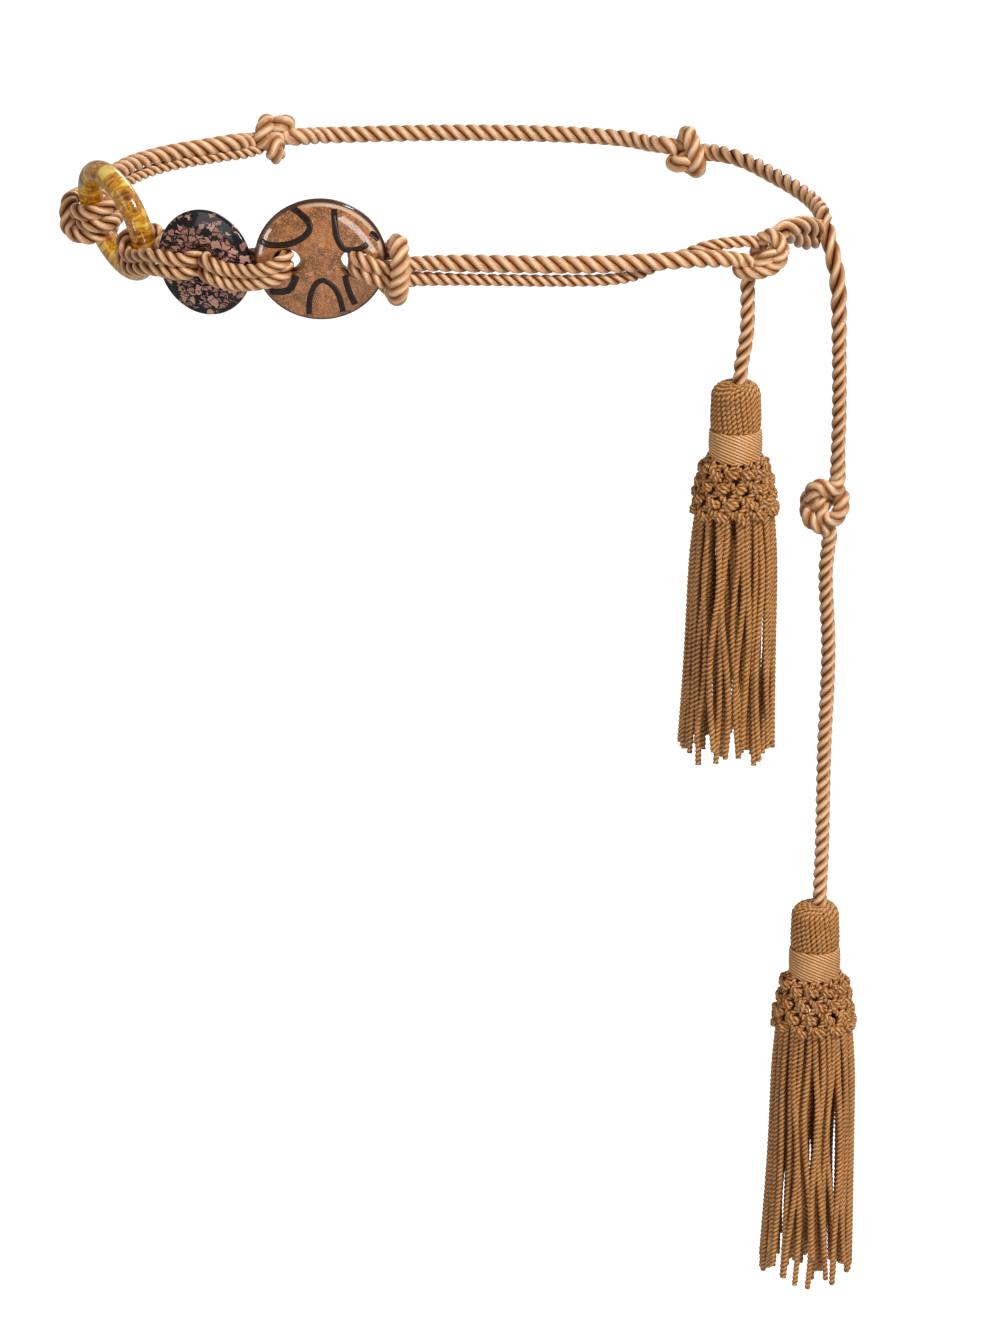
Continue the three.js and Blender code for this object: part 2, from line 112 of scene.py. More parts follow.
class Nodes:
    """Short ways to add and join shader nodes in one tree."""

    def __init__(self, tree):
        self.tree = tree

    def feed(self, node, inputs):
        """Joins each named input of a node to a socket, or sets it to a value."""
        for key, value in inputs.items():
            if isinstance(value, bpy.types.NodeSocket):
                self.tree.links.new(value, node.inputs[key])
            else:
                node.inputs[key].default_value = value
        return node

    def add(self, kind, inputs=None, **settings):
        node = self.tree.nodes.new(kind)
        for key, value in settings.items():
            setattr(node, key, value)
        return self.feed(node, inputs or {})

    def math(self, operation, *values):
        return self.add("ShaderNodeMath", dict(enumerate(values)), operation=operation).outputs[0]

    def remap(self, value, low, high, to_low=0.0, to_high=1.0):
        return self.add("ShaderNodeMapRange", {"Value": value, "From Min": low, "From Max": high,
                                               "To Min": to_low, "To Max": to_high},
                        interpolation_type="SMOOTHSTEP").outputs["Result"]

    def noise(self, where, **settings):
        return self.add("ShaderNodeTexNoise", {"Vector": where, **settings}).outputs["Fac"]

    def uv(self):
        mapped = self.add("ShaderNodeUVMap", uv_map="UVMap").outputs["UV"]
        return self.add("ShaderNodeSeparateXYZ", {"Vector": mapped}).outputs

    def vector(self, operation, first, second):
        return self.add("ShaderNodeVectorMath", {0: first, 1: second}, operation=operation).outputs

    def mix(self, share, first, second):
        return self.add("ShaderNodeMix", {0: share, 6: first, 7: second}, data_type="RGBA").outputs[2]


def new_material(name):
    """A material, its shader and the short ways to add nodes to it."""
    material = bpy.data.materials.new(name)
    material.use_nodes = True
    return material, material.node_tree.nodes["Principled BSDF"], Nodes(material.node_tree)


# Floor: it looks white to the camera and dark in the glass, whose polish mirrors it
floor_paint, shader, m = new_material("floor_paint")
seen = m.add("ShaderNodeLightPath").outputs["Is Camera Ray"]
m.feed(shader, {"Base Color": (0.5, 0.5, 0.5, 1), "Roughness": 0.9, "Emission Color": (1, 1, 1, 1),
                "Emission Strength": m.math("MULTIPLY_ADD", seen, 0.9, 0.02)})
floor_mesh = bpy.data.meshes.new("floor")
floor_mesh.from_pydata([(x * FLOOR_HALF, y * FLOOR_HALF, FLOOR_Z) for x, y in ((-1, -1), (1, -1), (1, 1), (-1, 1))],
                       [], [(0, 1, 2, 3)])
floor_mesh.materials.append(floor_paint)
put("floor", floor_mesh)


# Waist rope: one long satin cord of three strands laid up right-handed. It is doubled where it
# is hitched to the ring and to the patterned disc, and knotted four times. Where it is doubled,
# one strand of the pair is slack and thick and the other hard and thin.
STRANDS = 3
STRAND_SIDES = 12
STRAND_SPREAD = 1.02
STRAND_OFF = 0.272
STRAND_OFF_IN_KNOT = 0.24
ROPE_STEP = 0.42 * MM
FINE_STEPS = 24


def spline(points, closed=False, spacing=ROPE_STEP):
    """Evenly spaced points of a smooth curve through the route's points, and how far along it
    each of those lies."""
    p = np.array(points, float)
    count = len(p)
    p = np.vstack([p[-1], p, p[:2]] if closed else [2 * p[0] - p[1], p, 2 * p[-1] - p[-2]])
    share = np.linspace(0, 1, FINE_STEPS, endpoint=False)[:, None]
    dense = []
    for a, b, c, d in zip(p, p[1:], p[2:], p[3:]):
        ka, kb, kc = (max(np.linalg.norm(v), 1e-9) ** 0.5 for v in (b - a, c - b, d - c))
        leave = kb * ((b - a) / ka - (c - a) / (ka + kb) + (c - b) / kb)
        arrive = kb * ((c - b) / kb - (d - b) / (kb + kc) + (d - c) / kc)
        dense.append((2 * share ** 3 - 3 * share ** 2 + 1) * b + (share ** 3 - 2 * share ** 2 + share) * leave
                     + (3 * share ** 2 - 2 * share ** 3) * c + (share ** 3 - share ** 2) * arrive)
    dense = np.vstack([*dense, p[-2]])
    lengths = lengths_along(dense)
    even = np.linspace(0, lengths[-1], max(2, round(lengths[-1] / spacing)) + 1)
    path = np.stack([np.interp(even, lengths, dense[:, k]) for k in range(3)], axis=1)
    return path, lengths[::FINE_STEPS][:count]


def unit(vectors):
    return vectors / np.maximum(np.linalg.norm(vectors, axis=-1, keepdims=True), 1e-12)


def lengths_along(path):
    """Length of a path up to each of its points."""
    return np.concatenate([[0], np.cumsum(np.linalg.norm(np.diff(path, axis=0), axis=1))])


def slope(path, closed):
    """Direction of a path at each of its points."""
    if closed:
        ring = path[:-1]
        along = np.roll(ring, -1, axis=0) - np.roll(ring, 1, axis=0)
        return unit(np.vstack([along, along[:1]]))
    return unit(np.gradient(path, axis=0))


def carry(path, closed=False):
    """Directions of a path, and a normal carried along it without twist."""
    along = slope(path, closed)
    side = np.cross(along[0], (0, 0, 1) if abs(along[0][2]) < 0.9 else (0, 1, 0))
    normals = []
    for direction in along:
        side = unit(side - (side @ direction) * direction)
        normals.append(side)
    normals = np.array(normals)
    if closed:
        other = np.cross(along[0], normals[0])
        slip = math.atan2(normals[-1] @ other, normals[-1] @ normals[0])
        turn = -slip * np.linspace(0, 1, len(path))[:, None]
        normals = np.cos(turn) * normals + np.sin(turn) * np.cross(along, normals)
    return along, normals


def lay_up(path, width, lay, start=0.0, closed=False, off=STRAND_OFF):
    """Skins of the strands wound right-handed round a path. A skin is its rings of points and
    the length along it at each ring. The strands' middles lie off the path, in rope widths."""
    along, normals = carry(path, closed)
    others = np.cross(along, normals)
    step = np.linalg.norm(np.diff(path, axis=0), axis=1)
    width, lay, off = (np.broadcast_to(value, len(path)) for value in (width, lay, off))
    turns = np.concatenate([[0], np.cumsum(step / ((lay[1:] + lay[:-1]) / 2))])
    if closed:
        turns = turns * round(turns[-1]) / turns[-1]
    section = np.linspace(-math.pi, math.pi, STRAND_SIDES, endpoint=False)[None, :, None]
    deep = ((0.5 - off) * width)[:, None, None]
    skins = []
    for strand in range(STRANDS):
        angle = 2 * math.pi * (turns + start + strand / STRANDS)[:, None]
        spoke = np.cos(angle) * normals + np.sin(angle) * others
        centre = path + (off * width)[:, None] * spoke
        lead = slope(centre, closed)
        out = unit(spoke - np.sum(spoke * lead, axis=1, keepdims=True) * lead)
        across = np.cross(lead, out)
        rings = (centre[:, None] + deep * np.cos(section) * out[:, None]
                 + STRAND_SPREAD * deep * np.sin(section) * across[:, None])
        skins.append((rings, lengths_along(centre)))
    return skins


def skin_mesh(name, skins, material, closed=False):
    """One object from tube skins. Its UV map holds the length in centimetres and the share of
    the way round, where a half is the outside of the strand."""
    points, corners, sizes, uvs = [], [], [], []
    base = 0
    for rings, lengths in skins:
        if closed:
            rings = rings[:-1]
        count, sides = rings.shape[:2]
        spans = count if closed else count - 1
        i = np.arange(spans)[:, None]
        j = np.arange(sides)[None, :]
        here, there = i * sides, ((i + 1) % count) * sides
        after = (j + 1) % sides
        quads = np.stack([here + j, here + after, there + after, there + j], axis=-1) + base
        u = lengths * 100
        u0, u1 = (np.broadcast_to(x[:, None], (spans, sides)) for x in (u[:spans], u[1:spans + 1]))
        v0, v1 = (np.broadcast_to(x / sides, (spans, sides)) for x in (j, j + 1))
        uvs.append(np.stack([u0, v0, u0, v1, u1, v1, u1, v0], axis=-1).reshape(-1))
        corners.append(quads.reshape(-1))
        sizes.append(np.full(spans * sides, 4))
        if not closed:
            for cap, place in ((np.arange(sides)[::-1], 0), (np.arange(sides), count - 1)):
                corners.append(cap + place * sides + base)
                sizes.append([sides])
                uvs.append(np.tile([u[place], 0.5], sides))
        points.append(rings.reshape(-1, 3))
        base += count * sides
    points, corners, sizes, uvs = map(np.concatenate, (points, corners, sizes, uvs))
    mesh = bpy.data.meshes.new(name)
    mesh.vertices.add(len(points))
    mesh.vertices.foreach_set("co", points.reshape(-1).astype(np.float32))
    mesh.loops.add(len(corners))
    mesh.loops.foreach_set("vertex_index", corners.astype(np.int32))
    mesh.polygons.add(len(sizes))
    mesh.polygons.foreach_set("loop_start", np.concatenate([[0], np.cumsum(sizes)[:-1]]).astype(np.int32))
    mesh.polygons.foreach_set("use_smooth", np.ones(len(sizes), bool))
    mesh.update(calc_edges=True)
    mesh.uv_layers.new(name="UVMap").data.foreach_set("uv", uvs.astype(np.float32))
    mesh.materials.append(material)
    return put(name, mesh)


def place_piece(piece, slot, *nodes):
    """The piece rides on the belt and stands for its CAD nodes."""
    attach(piece, "root")
    if nodes:
        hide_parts(*nodes)
    return piece


def colour(red, green, blue):
    """Linear colour from the 0 to 255 values that a screen shows."""
    def linear(value):
        value /= 255
        return value / 12.92 if value < 0.04045 else ((value + 0.055) / 1.055) ** 2.4
    return (linear(red), linear(green), linear(blue), 1)


# Satin thread, of rope and tassels alike: bright filaments run along each strand, with a painted
# highlight along its crest and painted shade where it presses against its neighbours
SATIN_INPUTS = {"Crest Highlight": "Color", "Light": "Color", "Middle": "Color", "Groove Shade": "Color",
                "Filaments": "Float", "Plies": "Float", "Groove Width": "Float"}
SATIN_OUTPUTS = {"Color": "Color", "Height": "Float", "Roughness": "Float"}
satin = bpy.data.node_groups.new("satin_thread", "ShaderNodeTree")
for way, sockets in (("INPUT", SATIN_INPUTS), ("OUTPUT", SATIN_OUTPUTS)):
    for key, kind in sockets.items():
        satin.interface.new_socket(name=key, in_out=way, socket_type=f"NodeSocket{kind}")
n = Nodes(satin)
given = n.add("NodeGroupInput").outputs
uv = n.uv()
lanes = n.add("ShaderNodeCombineXYZ", {"X": n.math("MULTIPLY", uv["X"], 1.6),
                                       "Y": n.math("MULTIPLY_ADD", uv["X"], 1.2,
                                                   n.math("MULTIPLY", uv["Y"], given["Filaments"]))})
filaments = n.noise(lanes.outputs[0], Scale=1.0, Detail=3.0, Roughness=0.6)
cloud = n.noise(n.add("ShaderNodeTexCoord").outputs["Object"], Scale=55.0, Detail=2.0)
half_turns = n.math("MULTIPLY_ADD", n.math("SUBTRACT", given["Plies"], 1.0), 0.5,
                    n.math("MULTIPLY", uv["Y"], given["Plies"]))
off_crest = n.math("ABSOLUTE", n.math("SUBTRACT", n.math("FRACT", half_turns), 0.5))
# Painted shade: darker towards the grooves, where strands or plies press together
groove_shade = n.remap(off_crest, n.math("SUBTRACT", given["Groove Width"], 0.26), given["Groove Width"])
tone = n.math("ADD", n.remap(filaments, 0.36, 0.66, 0, 0.7), n.remap(cloud, 0.35, 0.65, -0.15, 0.3))
body = n.mix(n.math("MAXIMUM", n.math("MINIMUM", tone, 1.0), 0.0), given["Middle"], given["Light"])
# Painted highlight: lighter along the crest of each strand or ply
crest_highlight = n.math("MULTIPLY", n.remap(off_crest, 0.15, 0.0), n.remap(filaments, 0.3, 0.6, 0.35, 1.0))
n.add("NodeGroupOutput", {"Color": n.mix(groove_shade, n.mix(crest_highlight, body, given["Crest Highlight"]), given["Groove Shade"]),
                          "Height": filaments, "Roughness": n.remap(filaments, 0.3, 0.7, 0.44, 0.3)})


def satin_material(name, relief, *values):
    """Satin thread with its own values for the group's inputs, in their order."""
    material, shader, m = new_material(name)
    threads = m.add("ShaderNodeGroup", dict(zip(SATIN_INPUTS, values)), node_tree=satin).outputs
    bump = m.add("ShaderNodeBump", {"Height": threads["Height"], "Strength": 0.55, "Distance": relief})
    m.feed(shader, {"Base Color": threads["Color"], "Roughness": threads["Roughness"],
                    "Normal": bump.outputs["Normal"], "Specular IOR Level": 0.4})
    return material


# The first colour is a painted crest highlight and the fourth a painted groove shade
rope_satin = satin_material("rope_satin", 0.16 * MM, colour(240, 201, 161), colour(208, 153, 104),
                            colour(175, 119, 72), colour(108, 50, 8), 34.0, 1.0, 0.33)


# Knots: overhand knots of the same rope. Each is written in a plane that faces the front: its
# middle, how far that plane leans back in degrees, and the rope's way as millimetres to the
# right, up and out of the plane.
knots = {
    "back_left_knot": ((-64.3, 85.1, 1.3), 19, (
        (-7.2, -1.1, -1), (-3.8, 0, -2.2), (-1.1, 2.7, -0.6), (1.4, 4.8, 1.6), (3.6, 5.5, 0.8), (4.4, 5.1, -2.5),
        (2.1, 3, -5), (-1.9, 0.4, -5.5), (-4.8, -0.9, -3.2), (-5.2, -1.7, 0), (-4.7, 0.5, 3.2), (-3.6, 3.9, 3.3),
        (-3, 5.7, 0.8), (-2.5, 5.3, -2.8), (-1.1, 1.8, -4.5), (0.4, -3.5, -4), (0.5, -6, -2), (0, -6.5, -0.3),
        (-0.3, -4.3, 2.6), (-0.6, -1.3, 1.8), (1.1, 0.4, -0.2), (4.1, 0.8, -0.8), (7.9, 0.4, 0))),
    "back_right_knot": ((90.3, 75.6, -1.2), 19, (
        (-7.5, 2.1, -0.5), (-4.1, 1.1, -2.2), (-1.4, 3.3, -3.6), (-0.3, 5.8, -2.4), (-0.2, 6.2, 0.6), (0.9, 3.9, 3),
        (2.2, 0.5, 3.6), (3.2, -3.6, 3.2), (3.4, -6.4, 1), (3, -6.8, -2), (0.1, -4.5, -4.6), (-3.1, -3.1, -4.2),
        (-4.8, -3.9, -2.4), (-5, -4.9, 0), (-3, -4.8, 2), (-0.4, -3.4, 1.2), (3.4, -1.2, -1.4), (6.7, -0.5, -0.6))),
    "front_right_knot": ((112.2, -77.6, 1.2), 19, (
        (-7.5, -1.5, 1.2), (-4.5, -2.2, 1.3), (-2.5, -4, -0.4), (-1.3, -4.8, -3.5), (-1.2, -0.4, -5.6),
        (-1.1, 3.7, -3.4), (0.4, 5.9, -0.5), (3.1, 7.1, 2), (5.9, 5.5, 3), (7.4, 1.9, 3.2), (6.6, -1.6, 3),
        (4, -4.2, 2.6), (0.1, -5.6, 2.4), (-3.9, -6.1, 1.2), (-6.7, -5.6, -0.8), (-7.3, -3.7, -3.6),
        (-5.1, -2.2, -4.6), (-3.1, -4.2, -1.4), (-1.3, -3.8, 1.4), (0.8, -2.1, 3), (3.1, 0.2, 3), (5.1, 2.1, 0.8),
        (7.2, 4, -2.4))),
    "hanging_knot": ((138.9, -36, -104.4), 0, (
        (3.5, 9, 0.2), (2.4, 6.8, 1.5), (-0.6, 7.1, 2.4), (-3.6, 7.7, 2.4), (-5.3, 5.8, 2), (-5.4, 2.6, 1),
        (-5.5, -0.7, -2.2), (-1.6, -1.4, -4.6), (2.4, 2.4, -4.8), (4.8, 4, -2.6), (5.3, 1.4, 0.2), (4.8, -1.8, 1.8),
        (2.8, -4.3, 2.6), (0.1, -5, 2.8), (-2.2, -2.9, 1.6), (-2.4, 0.4, 1.1), (-2.3, 3.3, 0.2), (-2.5, 5.3, -1.8),
        (-4.6, 4.5, -4.4), (-6.5, 1.4, -4), (-6.8, -1.3, -1.6), (-6.8, -3.5, 1), (-5.1, -6, 2.2), (-1.8, -7.8, 1.8),
        (0.8, -9.7, 0.6))),
}


def knot_route(name):
    """Points of a knot in the belt's own frame."""
    middle, lean, route = knots[name]
    lean = math.radians(lean)
    up = np.array((0, math.sin(lean), math.cos(lean)))
    out = np.array((0, -math.cos(lean), math.sin(lean)))
    return [np.array(middle) + (right, 0, 0) + rise * up + forward * out for right, rise, forward in route]


# Hitches: the doubled rope passes round the ring's wall, and through the patterned disc and round
# its own two parts as a bar. The ring leans with its top to the wearer's right, and each disc is
# given by its sizes, its middle, the way it faces and its holes.
RING_CENTRE = np.array((-117.6, -30, 1))
RING_RADIUS = 18.9
RING_WALL = 8.6
ring_normal = unit(np.array((0.835, 0.475, 0.28)))
ring_front = unit(np.cross(ring_normal, (0, 0, 1)))
ring_up = np.cross(ring_front, ring_normal)


def ring_point(angle, outward, sideways):
    """A place on the ring by its angle, off the middle of the wall."""
    spoke = ring_front * math.cos(angle) + ring_up * math.sin(angle)
    return RING_CENTRE + spoke * (RING_RADIUS + outward) + ring_normal * sideways


hitch_route = [
    (-127.5, 11, -1.8), (-124.1, 2, -1.6), (-120.8, -6, -2.8), (-119, -14, -2.6), (-120.3, -20.3, -2),
    (-123.6, -22.2, -2.7), (-127.6, -21.2, -3), (-130.6, -16.5, -3.6), (-131.7, -8, -5.4), (-129, -3, -6.6),
    (-124.6, -3, -4.4), (-120.9, -7, 0.1), (-119.4, -14.5, 3.6), (-121.1, -20.3, 3.8), (-125, -22.2, 2.2),
    (-129.3, -21.6, 1.3), (-133, -17.5, 1.2), (-133.3, -10, -0.9), (-129.7, -3.2, -3.9), (-124.3, -3, -5.9),
    (-121, -8, -6.7), (-121.9, -15.5, -6.5), (-125.3, -19, -7.4), (-129.6, -19.6, -8), (-133.3, -18.8, -7.3),
    (-136, -17, -5.4), (-136.6, -16, -2.2), (-136.6, -14.6, 1), (-136, -11, 3.2), (-134.4, -4.5, 3),
    (-132, 6, 1.7)]

patterned = {"diameter": 45, "thickness": 7, "edge": 2.6, "centre": (-43, -92, 4.1),
             "normal": (0, -0.986, -0.165), "holes": (-12, 12), "hole": 9.9}
speckled = {"diameter": 36.6, "thickness": 6, "edge": 2.4, "centre": (-84, -82, 0.2),
            "normal": (-0.48, -0.88, 0), "holes": (0,), "hole": 11.88}


def disc_axes(disc):
    out = unit(np.array(disc["normal"]))
    right = unit(np.cross((0, 0, 1), out))
    return right, np.cross(out, right), out


def disc_point(disc, right, up, out):
    axes = disc_axes(disc)
    return np.array(disc["centre"]) + right * axes[0] + up * axes[1] + out * axes[2]


front_hitch = [disc_point(patterned, *row) for row in (
    (34, -1.7, 0.2), (29.5, -2, 1.2), (24.5, -1.6, 4), (20, -0.4, 5.8), (16.5, 1.2, 5.8), (12.6, 2.2, 3.6),
    (12.2, 2.2, 0), (12.6, 2.2, -3.6), (16.5, 2.4, -6), (21, 1.2, -5.4), (25, 1.4, -3.8),
    (27.2, 7, 1.8), (28, 4.8, 7.4), (28, -3.2, 8.8), (27.4, -9.4, 7.8), (26.6, -13, 3.4),
    (24.6, -12.8, -2), (20.5, -10.5, -5.2), (16, -5.5, -6), (12.6, -2.2, -3.6), (12.2, -2.2, 0),
    (12.6, -2.2, 3.6), (16.5, -3.4, 5.8), (20, -5.3, 5.8), (24.5, -6.6, 4), (29.5, -7.6, 1.2),
    (34, -7.6, 0.2))]

BAR_WIDTHS = [5.6] * 9 + [7, 7.2, 7.2, 7.2, 7.2, 7, 6.6, 6.2] + [5.6] * 10
THICK_Z, THIN_Z = 2.5, -3.4
BACK_THICK_Z = 2.1
back_pair = [(-129, 19), (-121.5, 33), (-116.5, 44), (-109, 54), (-99.5, 62.5), (-88, 70), (-79.5, 75.6)]

# Each rope is a chain of stretches: CAD node, route, rope width and length of lay, in millimetres
waist_chain = [
    ("back_left_thin_strand", [(-66.5, 87, 0.6), (-69.4, 84.4, -2), (-74.4, 79.6, -2.8), (-81, 74.6, -2.5),
                               (-88, 70, -2.4), (-99.5, 62.5, -2.5), (-109, 54, -2.9), (-116.5, 44, -3.6),
                               (-121.5, 33, -3.8), (-129, 19, -3.8)], 4.7, 11.3),
    ("ring_hitch", hitch_route, 5.7, 14),
    ("back_left_thick_strand", [(x, y, BACK_THICK_Z) for x, y in back_pair], 6.6, 15.4),
    ("back_left_knot", knot_route("back_left_knot"), 6.9, 12.5),
    ("back_rope", [(-47, 92.4, 0.4), (-40, 94.6, 0), (-20, 96.6, 0), (4, 97.8, 0), (28, 97, 0), (51, 94, 0),
                   (68, 88.5, 0), (76, 82.4, 0)], 6.5, 14.4),
    ("back_right_knot", knot_route("back_right_knot"), 6.9, 13.5),
    ("side_rope", [(106, 63.5, 0), (112.6, 54, 0), (119.5, 39, 0), (126.5, 22.5, 0), (132.5, 5, 0),
                   (135.6, -12, 0.4), (136.4, -23, 0.6), (137.6, -31.5, -2.6), (139.4, -36.4, -9.5),
                   (141, -37, -17), (141.8, -36.6, -24)], 6.3, 24),
    ("long_hanging_rope_upper", [(142.4, -36.4, -45), (142.8, -36.2, -68), (142.6, -36, -84)], 5.6, 13.8),
    ("hanging_knot", knot_route("hanging_knot"), 6.3, 12.5),
    ("long_hanging_rope_lower", [(139.6, -36, -120), (138.8, -36.2, -130), (140.2, -36.4, -160),
                                 (139.2, -36.6, -200), (139, -36.6, -235), (138.5, -36.6, -254.4),
                                 (138.5, -36.6, -270)], 5.6, 12.4),
]
front_chain = [
    ("front_thin_strand", [(114.3, -69.5, -1.1), (113.3, -72.5, 2.3), (111.2, -76, 5.5), (107.9, -77.5, 6.6),
                           (103.3, -78.5, 6.5), (96.9, -80, 6.1), (90.5, -81.8, 5), (86, -81.4, 3), (80, -80.8, 0.8),
                           (74, -82.8, -1.4), (68, -87, THIN_Z + 0.4), (60, -91.4, THIN_Z), (42, -93.4, THIN_Z),
                           (21, -92.6, THIN_Z), (6, -91.8, THIN_Z)], 4.5, 11.3),
    ("disc_hitch", front_hitch[::-1], BAR_WIDTHS[::-1], 11.6),
    ("front_thick_strand", [(6, -91.8, THICK_Z), (21, -92.6, THICK_Z), (42, -93.6, THICK_Z), (58, -92.8, THICK_Z),
                            (74, -90, THICK_Z), (88, -86.4, THICK_Z), (97, -82.6, 1.6)], 6.6, 15.2),
    ("front_right_knot", knot_route("front_right_knot"), 5.5, 12),
]
LONG_END = ["hanging_knot", "long_hanging_rope_lower", "long_hanging_rope_upper"]


def chain_pieces(chain, start):
    """Lays up one rope along all its stretches, then says where it is cut into its pieces."""
    path, marks = spline(np.array([point for _, route, _, _ in chain for point in route]) * MM)
    places, widths, lays, offs, cuts = [], [], [], [], []
    first = 0
    for name, route, width, lay in chain:
        inner = marks[first:first + len(route)]
        first += len(route)
        places.extend(inner)
        widths.extend(np.broadcast_to(width, len(inner)))
        lays.extend([lay] * len(inner))
        offs.extend([STRAND_OFF_IN_KNOT if name.endswith("_knot") else STRAND_OFF] * len(inner))
        cuts.append((name, inner[0], inner[-1]))
    far = np.linspace(0, marks[-1], len(path))
    skins = lay_up(path, np.interp(far, places, widths) * MM, np.interp(far, places, lays) * MM, start=start,
                   off=np.interp(far, places, offs))
    borders = [0] + [int(np.searchsorted(far, (a[2] + b[1]) / 2)) for a, b in zip(cuts, cuts[1:])] + [len(path) - 1]
    return path, skins, {name: (low, high + 1) for (name, _, _), low, high in zip(cuts, borders, borders[1:])}


def rope_piece(name, skins, *nodes, low=0, high=None, closed=False):
    """The piece of a rope from one of its rings up to another."""
    cut = [(rings[low:high], lengths[low:high]) for rings, lengths in skins]
    return place_piece(skin_mesh(name, cut, rope_satin, closed), "rope", *nodes)


for chain, start in ((waist_chain, 0.1), (front_chain, 0.35)):
    path, skins, spans = chain_pieces(chain, start)
    for name, (low, high) in spans.items():
        if name not in LONG_END:
            rope_piece(f"{name}_twist", skins, name, low=low, high=high)
    if LONG_END[0] in spans:
        low, high = spans["long_hanging_rope_upper"][0], spans["long_hanging_rope_lower"][1]
        long_end = rope_piece("long_hanging_end", skins, *LONG_END, low=low, high=high)

# Short hanging end: the same cord, which comes out of the front knot and runs straight down into
# its tassel's head
short_path, _ = spline(np.array([(108, -75.4, -3), (107.7, -76.2, -9.4), (107.6, -76.5, -27), (105.6, -76, -41.2),
                                 (105.6, -76, -57)]) * MM)
short_end = rope_piece("short_hanging_end", lay_up(short_path, 5.5 * MM, 14.7 * MM), "short_hanging_rope")

# End bight: the belt's end, a slack bend of the same cord, which passes round the long hanging
# rope and back to the front knot
bight_path, _ = spline(np.array([
    (117.3, -73, 6.5), (119.5, -70, 8.4), (122.9, -63, 7.4), (126.5, -55, 6.1), (129.7, -46, 3.8), (133, -36, -0.1),
    (136.1, -24, -4.6), (135.5, -22, -7), (132.8, -28, -6.8), (129.4, -38, -4.2), (126.1, -48, -0.3),
    (122.4, -59, 4.1), (119.2, -68, 5.1), (117.4, -71, 3.4)]) * MM)
rope_piece("end_bight_twist", lay_up(bight_path, 6.8 * MM, 33 * MM), "end_bight")

# Links: short lengths of the same cord, each joined into a ring and wound twice. One ties the
# glass ring to the speckled disc, the next ties that disc to the patterned one.
LINK = 4.0
LINK_WIDTH = 5.3
TURN_GAP = 0.8
LINK_ANGLE = -0.4
wall_turn = RING_WALL / 2 + LINK / 2 + 1.5
beside = (LINK + 0.3) / 2


def over(disc):
    """How far a rope's middle passes over a disc's middle and over its edge."""
    return disc["thickness"] / 2 + LINK / 2 + 1, disc["edge"] / 2 + LINK / 2 + 0.8


def ring_link(height):
    """One turn round the ring's wall, in shares of its reach, and through the speckled disc's hole."""
    middle, edge = over(speckled)
    rim = speckled["diameter"] / 2
    wall = [(0.1, 1), (-0.72, 0.72), (-1, 0), (-0.72, -0.72), (0.1, -1)]
    disc = [(-rim - 1, -1.6, edge), (-1.5 * LINK, -1, middle), (-beside - 0.3, 0, 0.9 * middle - 1),
            (-beside, 0, 0), (-beside - 0.3, 0, 1 - 0.9 * middle), (-1.5 * LINK, 0, -middle), (-rim - 1, 0, -edge)]
    return ([ring_point(LINK_ANGLE, out * wall_turn, side * wall_turn) + (0, 0, height) for out, side in wall]
            + [disc_point(speckled, right, height + up, out) for right, up, out in disc])


def disc_link(height):
    """One turn through the speckled disc's hole and the patterned disc's left one."""
    left_middle, left_edge = over(speckled)
    right_middle, _ = over(patterned)
    rim = speckled["diameter"] / 2
    hole = patterned["holes"][0]
    leave = [(beside, 0, 0), (beside + 0.3, 0, 0.9 * left_middle - 1), (1.5 * LINK, -1, left_middle),
             (0.75 * rim, -2.4, left_edge + 1)]
    far = [(hole - 1.5 * LINK, -3, right_middle), (hole - 0.3, 0, 0.9 * right_middle - 1), (hole, 0, 0),
           (hole - 0.3, 0, 1 - 0.9 * right_middle), (hole - 1.5 * LINK, -1, -right_middle)]
    back = [(0.75 * rim, 0, -left_edge - 1), (1.5 * LINK, 0, -left_middle), (beside + 0.3, 0, 1 - 0.9 * left_middle)]
    return ([disc_point(speckled, x, height + up, out) for x, up, out in leave]
            + [disc_point(patterned, x, height + up, out) for x, up, out in far]
            + [disc_point(speckled, x, height + up, out) for x, up, out in back])


for name, route_at, link_lay in (("ring_link", ring_link, 12), ("disc_link", disc_link, 10.6)):
    for turn, sign in (("upper", 1), ("lower", -1)):
        loop, _ = spline(np.array(route_at(sign * (LINK + TURN_GAP) / 2)) * MM, closed=True)
        sideways = np.sqrt(1 - slope(loop, True)[:, 1] ** 2)
        lay = link_lay * MM / np.maximum(sideways, 0.4)
        skins = lay_up(loop, LINK_WIDTH * MM, lay, closed=True, start=0.2 * sign)
        rope_piece(f"{name}_{turn}_twist", skins, f"{name}_{turn}", closed=True)


# Glass ring: a hand-wound lampwork ring of honey glass, fire-polished. Amber and brown streaks wind
# round it; its thin edges are painted paler, as painted light coming through, and it has a faint painted glow.
RING_STEPS = 120
RING_SIDES = 32


def polish(shader, roughness):
    """Fire-polished glass skin over whatever colour lies under it."""
    for key, value in (("Roughness", roughness), ("Specular IOR Level", 0.15), ("Coat Weight", 1.0),
                       ("Coat Roughness", 0.05)):
        shader.inputs[key].default_value = value


def ramp_of(nodes, value, stops):
    ramp = nodes.add("ShaderNodeValToRGB", {"Fac": value})
    elements = ramp.color_ramp.elements
    for position, shade in stops:
        elements.new(position).color = shade
    elements.remove(elements[0])
    elements.remove(elements[-1])
    return ramp.outputs["Color"]


amber, shader, m = new_material("amber_streaks")
uv = m.uv()
round_wall = m.math("MULTIPLY", uv["Y"], 2 * math.pi)
wall_x, wall_y = (m.math(way, round_wall) for way in ("SINE", "COSINE"))


